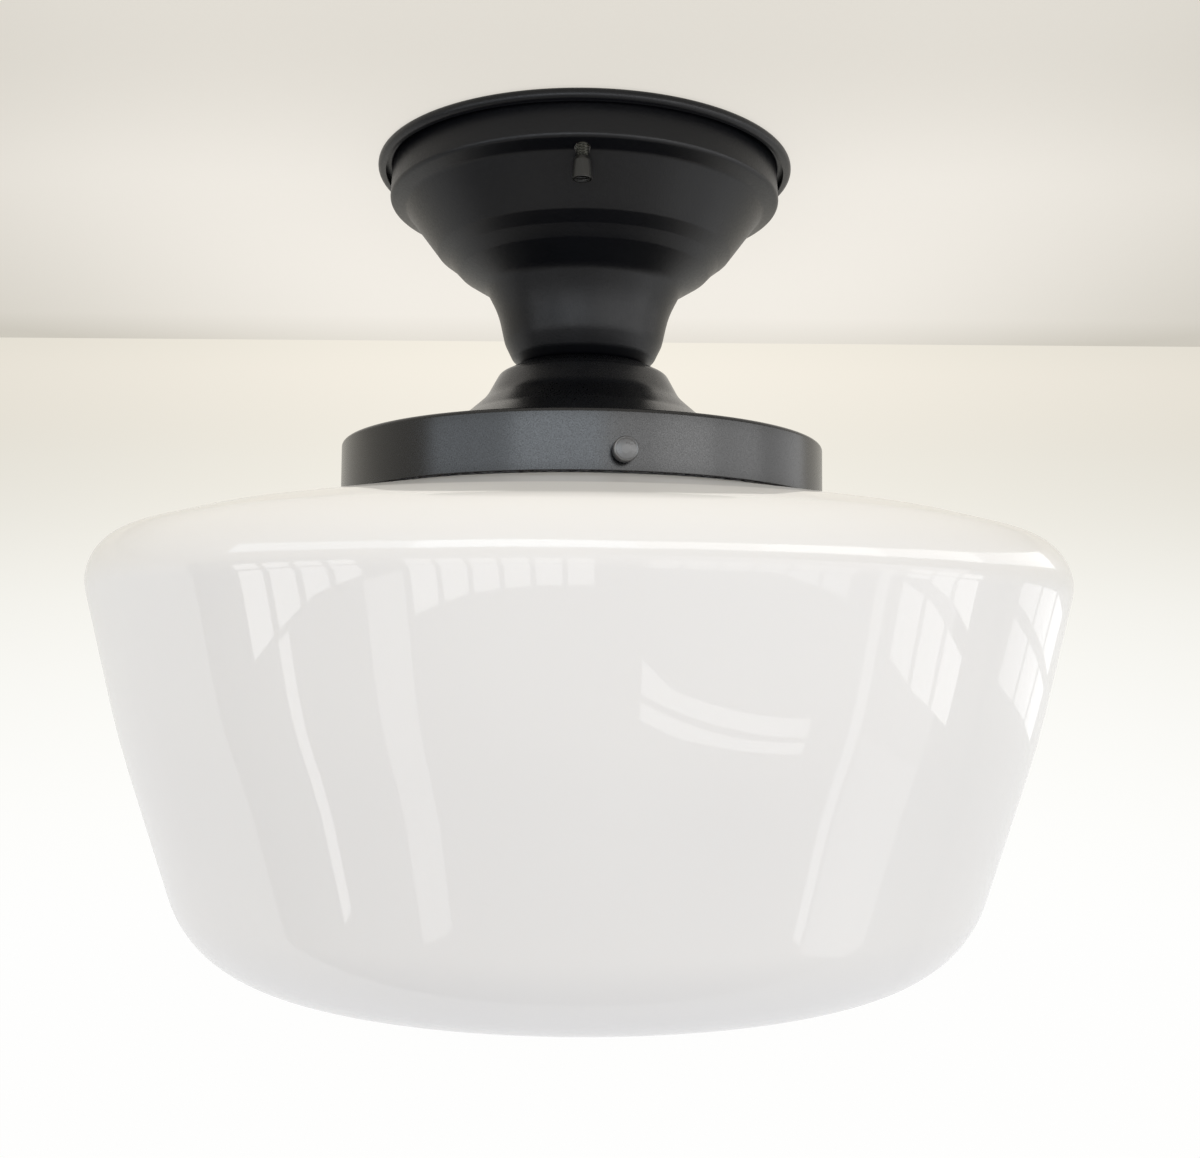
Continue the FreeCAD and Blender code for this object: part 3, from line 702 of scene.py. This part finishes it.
def hexagon(name, base, height, across_flats, bore):
    """Hexagon nut with turned chamfers on both faces."""
    corner = across_flats / 2 / math.cos(math.pi / 6)
    chamfer = 0.55 * (corner - across_flats / 2) + 0.3

    def make(made):
        loops = []
        for z in (base, base + height):
            loops.append([made.verts.new((corner * MM * math.cos(math.pi * s / 3),
                                          corner * MM * math.sin(math.pi * s / 3), z * MM))
                          for s in range(6)])
        made.faces.new(loops[0])
        made.faces.new(loops[1])
        for s in range(6):
            t = (s + 1) % 6
            made.faces.new((loops[0][s], loops[0][t], loops[1][t], loops[1][s]))

    nut = object_from(make, name)
    rim = across_flats / 2 - 0.2
    body = turned("body", [
        (bore, base + 0.5, 0),
        (bore + 0.5, base, 0),
        (rim, base, 0),
        (rim + 2.4 * chamfer, base + chamfer, 0),
        (rim + 2.4 * chamfer, base + height - chamfer, 0),
        (rim, base + height, 0),
        (bore + 0.5, base + height, 0),
        (bore, base + height - 0.5, 0),
    ], 64)
    return softened(combined(nut, body, "INTERSECT"), 0.12, 2, 25.0)


def dressed(node, name, edge=0.0, flat=False):
    """A copy of a CAD node with joined faces, smooth curves and softened edges."""
    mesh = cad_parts[node].data.copy()
    mesh.name = name
    piece = in_scene(name, mesh)
    made = bmesh.new()
    made.from_mesh(mesh)
    bmesh.ops.remove_doubles(made, verts=made.verts, dist=2e-6)
    if flat:
        bmesh.ops.dissolve_limit(made, angle_limit=math.radians(1.0), verts=made.verts,
                                 edges=made.edges)
    made.to_mesh(mesh)
    made.free()
    return softened(piece, edge) if edge else smooth(piece)


# ---------------------------------------------------------------- strap, tube and leads

def strap_pieces():
    """Pressed strap with its slotted green ground screw."""
    fit(dressed("ceiling_strap", "strap_pressed", 0.35, True), "fixture", zinc,
        "ceiling_strap")
    head_base = -5.0
    head = turned("ground_screw_turned", [
        (0, head_base, 0),
        (1.2, head_base, 0),
        (3.2, head_base + 0.25, 0.3),
        (3.6, head_base + 0.9, 0.3),
        (3.6, -2.8, 0.1),
        (2.0, -2.8, 0),
        (2.0, -0.9, 0),
        (0, -0.9, 0),
    ], 48, 10.0)
    slot_tool = block("slot", (-4.0, -0.45, head_base - 1), (4.0, 0.45, head_base + 1.0))
    head = combined(head, slot_tool)
    place(head, moved(y=26.0))
    fit(head, "fixture", green_dye, "ground_screw")


def tube_pieces():
    """Threaded tube with its nuts and washers, and the two ring terminals."""
    hub_base = -76.05
    tube_top = neck_base + 9.3
    tube = turned("tube_threaded", [
        (3.9, hub_base, 0.2),
        (tube_radius, hub_base, 0),
        (tube_radius, tube_top, 0),
        (3.9, tube_top, 0.2),
    ], 60, 10.0, 0.14)
    grooves.use(tube, zinc, Radius=tube_radius * MM, Depth=0.4 * MM, Per_metre=1000.0)
    fit(tube, "fixture", zinc, "threaded_tube")
    bore = tube_radius + running_gap
    for node, base in (("tube_top_nut", neck_base + 2.5), ("holder_nut", -72.05)):
        fit(hexagon(node + "_cut", base, 4.0, 14.0, bore), "fixture", zinc, node)
    for node, base in (("tube_top_washer", neck_base + 0.9), ("holder_washer", -68.05)):
        washer = turned(node + "_pressed", [
            (bore, base, 0.15), (8.5, base, 0.15), (8.5, base + 0.8, 0.3), (bore, base + 0.8, 0.3),
        ], 64, 15.0)
        fit(washer, "fixture", zinc, node)
    for node in ("tube_ring_terminal", "strap_ring_terminal"):
        fit(dressed(node, node + "_crimped", 0.12), "fixture", tinned, node)


def lead_pieces():
    """The three insulated leads."""
    for node, slot_name, skin in (("ground_lead", "green_insulation", green_skin),
                                  ("black_lead", "black_insulation", black_skin),
                                  ("white_lead", "white_insulation", white_skin)):
        fit(dressed(node, node + "_drawn"), "fixture", skin, node)


def connector_pieces():
    """Two twist-on connectors with ribs round the cap and a wider skirt at its mouth."""
    mouth = -25.0
    top = mouth + 20.0
    body = turned("connector_caps", [
        (3.0, mouth, 0.3),
        (5.2, mouth, 0.5),
        (4.95, mouth + 5.0, 0.6),
        (4.55, mouth + 5.6, 0.5),
        (3.3, top, 1.2),
        (0, top, 0),
        (0, mouth + 14.0, 0),
        (1.15, mouth + 14.0, 0),
        (1.15, mouth + 7.0, 0),
        (3.0, mouth + 7.0, 0),
    ], 64, 12.0)
    rib_foot = mouth + 5.4
    rib = turned("rib", [(0, rib_foot, 0), (0.28, rib_foot, 0), (0.28, top - 1.6, 0.2),
                         (0, top - 1.4, 0)], 10, 30.0)
    lean = math.atan2(1.15, 13.6)
    place(rib, moved(z=rib_foot) @ Matrix.Rotation(-lean, 4, "Y") @ moved(z=-rib_foot))
    set_round.use(rib, orange_cap, Count=14, Radius=4.5 * MM)
    caps = joined("connector_caps_ribbed", [body, rib])
    set_round.use(caps, orange_cap, Count=2, Radius=28.0 * MM)
    fit(caps, "fixture", orange_cap, "wire_connectors")


# ---------------------------------------------------------------- lampholder and bulb

def lampholder_pieces():
    """Cap, hub, porcelain, contacts and screw shell, with the two slotted cap screws."""
    plain = (
        ("lampholder_cap", "cap_aluminium", aluminium, 0.15),
        ("cap_hub", "cap_aluminium", aluminium, 0.2),
        ("contact_rivet", "brass", brass, 0.15),
        ("contact_leaf", "brass", brass, 0.1),
        ("screw_shell", "shell_aluminium", aluminium, 0.0),
        ("porcelain_body", "porcelain", porcelain, 0.3),
    )
    for node, slot_name, material, edge in plain:
        fit(dressed(node, node + "_made", edge), "fixture", material, node)
    screws = []
    for side in (0, 180):
        screw = turned("cap_screw", [
            (0, 13.3, 0),
            (1.5, 13.3, 0.2),
            (1.5, 18.6, 0),
            (2.6, 18.6, 0.1),
            (2.5, 19.3, 0.4),
            (1.2, 19.9, 0.8),
            (0, 19.9, 0),
        ], 36, 12.0)
        screw = combined(screw, block("slot", (-3.0, -0.35, 19.3), (3.0, 0.35, 21.0)))
        screws.append(place(screw, outwards(side, -86.85)))
    fit(joined("cap_screws_turned", screws), "fixture", zinc, "cap_screws")


def bulb_pieces():
    """A frosted bulb on its screw cap."""
    for node, slot_name, material, edge in (
            ("bulb_contact", "bulb_solder", solder, 0.15),
            ("bulb_insulator", "bulb_black", bulb_black, 0.0),
            ("bulb_cap", "bulb_aluminium", aluminium, 0.0),
            ("bulb_collar", "bulb_white", bulb_white, 0.2),
            ("bulb_globe", "bulb_frosted", bulb_frost, 0.0)):
        fit(dressed(node, node + "_made", edge), "bulb", material, node)


# ---------------------------------------------------------------- camera, lights and room

wall_place = 0.237          # metres behind the axis


def camera():
    """In front of the light and a little above the shade's foot, tipped up."""
    picture_width = 1200
    focal_length = 1383.6       # in the picture's pixels
    upwards = 4.01
    roll = 0.45
    data = bpy.data.cameras.new("camera")
    data.sensor_width = 36.0
    data.lens = focal_length / picture_width * data.sensor_width
    data.clip_start = 0.01
    data.clip_end = 50
    eye = in_scene("camera", data)
    eye.matrix_world = (moved(6.1, -452.2, -168.0)
                        @ Matrix.Rotation(math.radians(90 + upwards), 4, "X")
                        @ Matrix.Rotation(math.radians(roll), 4, "Z"))
    bpy.context.scene.camera = eye


def window(name, turns, away, heights, strength, across=1, up=1, bar=0.0, tone=(1, 1, 1)):
    """Window panes that only gloss shows, on an arc round the light's axis.

    turns and heights are the arc's ends and its low and high edge, in degrees and metres.
    Strength 1 is white."""
    glow = Finish(name + "_glow", Roughness=1.0, Specular_IOR_Level=0.0,
                  Emission_Strength=strength)
    glow.shader.inputs["Base Color"].default_value = (0, 0, 0, 1)
    paler = tuple(c * 0.93 for c in tone)
    glow.give("Emission Color", glow.colours(glow.noise(1.5, 2.0), (0.3, paler), (0.7, tone)))
    corners = []
    faces = []
    edge = math.degrees(bar / away) / 2
    for column in range(across):
        left = turns[0] + (turns[1] - turns[0]) * column / across + edge
        right = turns[0] + (turns[1] - turns[0]) * (column + 1) / across - edge
        for row in range(up):
            low = heights[0] + (heights[1] - heights[0]) * row / up + bar / 2
            high = heights[0] + (heights[1] - heights[0]) * (row + 1) / up - bar / 2
            start = len(corners)
            for turn, height in ((left, low), (right, low), (right, high), (left, high)):
                angle = math.radians(turn - 90)
                corners.append((away * math.cos(angle), away * math.sin(angle), height))
            faces.append((start, start + 3, start + 2, start + 1))
    mesh = bpy.data.meshes.new(name)
    mesh.from_pydata(corners, [], faces)
    mesh.materials.append(glow.material)
    piece = in_scene(name, mesh)
    piece.visible_camera = False
    piece.visible_diffuse = False
    piece.visible_shadow = False


def sheet(name, corners, material):
    """Flat face of the room, seen from the side that its corners turn to."""
    mesh = bpy.data.meshes.new(name)
    mesh.from_pydata([Vector(corner) for corner in corners], [], [(0, 1, 2, 3)])
    piece = in_scene(name, mesh)
    mesh.materials.append(material)


def room_paint(name, lit, share, soft, shade):
    """Pale wall paint that is seen from its front only, so that it hides nothing from behind.

    lit is its own colour. shade(finish, glow) paints light and shade into the glow's colour, and
    gives its strength.
    share is how far this stands in for the lit colour in the picture and in gloss, and soft is
    its strength in the soft light that falls on other pieces."""
    finish = Finish(name, Roughness=0.9, Specular_IOR_Level=0.1)
    links = finish.tree.links
    tone = finish.noise(3.0, 3.0)
    paler = tuple(min(1, c * 1.03) for c in lit)
    finish.give("Base Color", finish.colours(tone, (0.3, lit), (0.7, paler)))
    finish.give("Normal", finish.bump(finish.noise(260, 4.0, 0.6), 0.25, 0.25))
    glow = finish.add("ShaderNodeEmission")
    path = finish.add("ShaderNodeLightPath")
    in_soft_light = finish.span(path.outputs["Is Diffuse Ray"], 0.0, 1.0, 1.0, soft)
    finish.put(finish.math("MULTIPLY", shade(finish, glow), in_soft_light),
               glow.inputs["Strength"])
    seen = finish.math("MAXIMUM", path.outputs["Is Camera Ray"],
                       finish.math("MAXIMUM", path.outputs["Is Glossy Ray"],
                                   path.outputs["Is Transmission Ray"]))
    seen_share = finish.math("MULTIPLY", seen, share)
    shown_mix = finish.add("ShaderNodeMixShader")
    links.new(finish.math("MAXIMUM", seen_share, path.outputs["Is Diffuse Ray"]),
              shown_mix.inputs[0])
    links.new(finish.shader.outputs[0], shown_mix.inputs[1])
    links.new(glow.outputs[0], shown_mix.inputs[2])
    clear = finish.add("ShaderNodeBsdfTransparent")
    side_mix = finish.add("ShaderNodeMixShader")
    geometry = finish.add("ShaderNodeNewGeometry")
    links.new(geometry.outputs["Backfacing"], side_mix.inputs[0])
    links.new(shown_mix.outputs[0], side_mix.inputs[1])
    links.new(clear.outputs[0], side_mix.inputs[2])
    out = finish.tree.nodes["Material Output"]
    links.new(side_mix.outputs[0], out.inputs["Surface"])
    return finish.material


def ceiling_painted_light(finish, glow):
    """Painted light and shade: a painted pool of light over the middle, painted shade to the
    sides, a painted shadow of the canopy in front and painted shade in the corner.
    """
    # Painted pool of light: the ceiling darkens away from the middle.
    painted_light_aside = finish.span(finish.math("ABSOLUTE", finish.axis("X")), 0.08, 0.35, 0.0, 0.9,
                        "SMOOTHSTEP")
    # Painted shadow of the canopy on the ceiling in front of it.
    front = finish.span(finish.axis("Y"), -0.10, 0.02, 0.45, 0.0, "SMOOTHSTEP")
    behind = finish.math("ABSOLUTE", finish.math("SUBTRACT", finish.axis("Y"), wall_place))
    # Painted shade along the corner with the wall.
    corner = finish.span(behind, 0.0, 0.05, 0.34, 0.0)
    shade = finish.math("ADD", finish.math("ADD", painted_light_aside, front), corner)
    # The ramp runs from the lit colour to the colour of the painted shade.
    finish.put(finish.colours(shade, (0.0, (0.97, 0.93, 0.86)),
                              (1.0, (0.62, 0.59, 0.52))), glow.inputs["Color"])
    return 1.0


def wall_painted_light(finish, glow):
    """Painted light and shade: white below, creamier and darker towards the ceiling with painted
    shade along the corner, and a painted pool of light there behind the light.
    """
    height = finish.span(finish.axis("Z"), -0.30, 0.0, 0.0, 1.0)
    # Painted shade: creamier and darker upwards, darkest in a band just under the ceiling.
    finish.put(finish.colours(height, (0.0, (1, 1, 1)), (0.25, (1.0, 1.0, 0.98)),
                              (0.56, (0.94, 0.93, 0.88)), (0.80, (0.77, 0.74, 0.66)),
                              (0.94, (0.85, 0.80, 0.71)), (1.0, (0.80, 0.76, 0.67)),
                              kind="B_SPLINE"), glow.inputs["Color"])
    # Painted pool of light on the wall behind the light, strongest near the ceiling.
    painted_light_aside = finish.span(finish.math("ABSOLUTE", finish.axis("X")), 0.0, 0.42, 0.12, -0.07,
                        "SMOOTHSTEP")
    return finish.math("ADD", finish.math("MULTIPLY", painted_light_aside, height), 1.0)


def room():
    """A pale ceiling, and a pale wall behind the light."""
    ceiling_paint = room_paint("ceiling_paint", (0.92, 0.89, 0.84), 0.75, 1.35, ceiling_painted_light)
    wall_paint = room_paint("wall_paint", (0.90, 0.89, 0.86), 0.95, 0.78, wall_painted_light)
    far = 9.0                   # metres to the room's ends
    top = 0.0003                # just clear of the canopy's rim
    sheet("ceiling", [(-far, -far, top), (-far, far, top), (far, far, top), (far, -far, top)],
          ceiling_paint)
    sheet("wall", [(-far, wall_place, top), (-far, wall_place, -far), (far, wall_place, -far),
                   (far, wall_place, top)], wall_paint)


def air():
    """Even light from all round, weaker from below, as over a floor, and from the left.

    In gloss the left is much weaker than the right, as in a room with its windows there."""
    world = bpy.data.worlds.new("air")
    bpy.context.scene.world = world
    world.use_nodes = True
    nodes = world.node_tree.nodes
    links = world.node_tree.links

    def span(source, low, high, to_low=0.0, to_high=1.0):
        node = nodes.new("ShaderNodeMapRange")
        links.new(source, node.inputs["Value"])
        for end, value in (("From Min", low), ("From Max", high), ("To Min", to_low),
                           ("To Max", to_high)):
            node.inputs[end].default_value = value
        return node

    direction = nodes.new("ShaderNodeTexCoord").outputs["Generated"]
    parts = nodes.new("ShaderNodeSeparateXYZ")
    links.new(direction, parts.inputs[0])
    path = nodes.new("ShaderNodeLightPath")
    height = span(parts.outputs["Z"], -0.9, 0.15, 0.38, 1.80)
    side = span(parts.outputs["X"], -1.0, 1.0)
    for end, plain, gloss in (("To Min", 0.86, 0.10), ("To Max", 1.04, 1.45)):
        choice = span(path.outputs["Is Glossy Ray"], 0.0, 1.0, plain, gloss)
        links.new(choice.outputs[0], side.inputs[end])
    strength = nodes.new("ShaderNodeMath")
    strength.operation = "MULTIPLY"
    links.new(height.outputs[0], strength.inputs[0])
    links.new(side.outputs[0], strength.inputs[1])
    light = nodes["Background"]
    light.inputs["Color"].default_value = (1.0, 0.993, 0.993, 1)
    links.new(strength.outputs[0], light.inputs["Strength"])
    seen = nodes.new("ShaderNodeBackground")
    seen.inputs["Color"].default_value = (0.95, 0.94, 0.92, 1)
    mix = nodes.new("ShaderNodeMixShader")
    links.new(path.outputs["Is Camera Ray"], mix.inputs[0])
    links.new(light.outputs[0], mix.inputs[1])
    links.new(seen.outputs[0], mix.inputs[2])
    links.new(mix.outputs[0], nodes["World Output"].inputs["Surface"])


def windows():
    """Windows round the room, and a long band of light close under the ceiling.

    Each has its turns, its distance, its heights, its strength and its panes."""
    window("left_window", (-77, -45), 3.0, (-1.18, -0.30), 3.4, 4, 2, 0.09)
    window("left_streak", (-69, -66), 3.0, (-2.5, -1.16), 3.2)
    window("pale_door", (-46, -37), 3.4, (-3.4, -1.30), 1.9)
    window("front_window", (-36, 4), 3.4, (-1.55, -0.40), 3.2, 6, 2, 0.07)
    window("low_window", (14, 56), 3.4, (-2.06, -1.72), 3.2, 1, 2, 0.05)
    window("middle_window", (14, 60), 3.4, (-1.30, -0.50), 3.0, 6, 3, 0.06)
    window("right_streak", (66, 69), 2.8, (-2.5, -0.45), 3.0)
    window("right_glow", (70, 90), 2.8, (-2.6, -1.40), 1.9)
    window("right_window", (72, 95), 2.6, (-1.05, -0.24), 3.8, 3, 3, 0.06)
    window("far_right_window", (92, 122), 0.38, (-0.235, -0.155), 1.9, 3, 2, 0.008)
    bluish = (0.86, 0.93, 1.0)
    plain = (1.0, 1.0, 1.0)
    parts = ((-66, -46, 3.2, bluish), (-46, -28, 3.4, bluish), (-28, 10, 6.0, bluish),
             (10, 32, 4.6, plain), (32, 56, 6.0, plain), (56, 82, 4.0, plain),
             (82, 116, 2.2, plain))
    for number, (left, right, strength, tone) in enumerate(parts, start=1):
        window("high_band_" + str(number), (left, right), 0.45, (-0.075, -0.006), strength,
               tone=tone)


camera()
air()
room()
windows()

grooves = groove_recipe()
set_round = round_recipe()

canopy_piece()
holder_piece()
glass_piece()
stud_pieces()
barrel_nut_piece(-1, "front")
barrel_nut_piece(1, "back")
for screw_number, screw_turn in enumerate(screw_turns, start=1):
    thumb_screw_piece(screw_number, screw_turn)
bush_pieces()
strap_pieces()
tube_pieces()
lead_pieces()
connector_pieces()
lampholder_pieces()
bulb_pieces()

view = bpy.context.scene.view_settings
view.view_transform = "Standard"
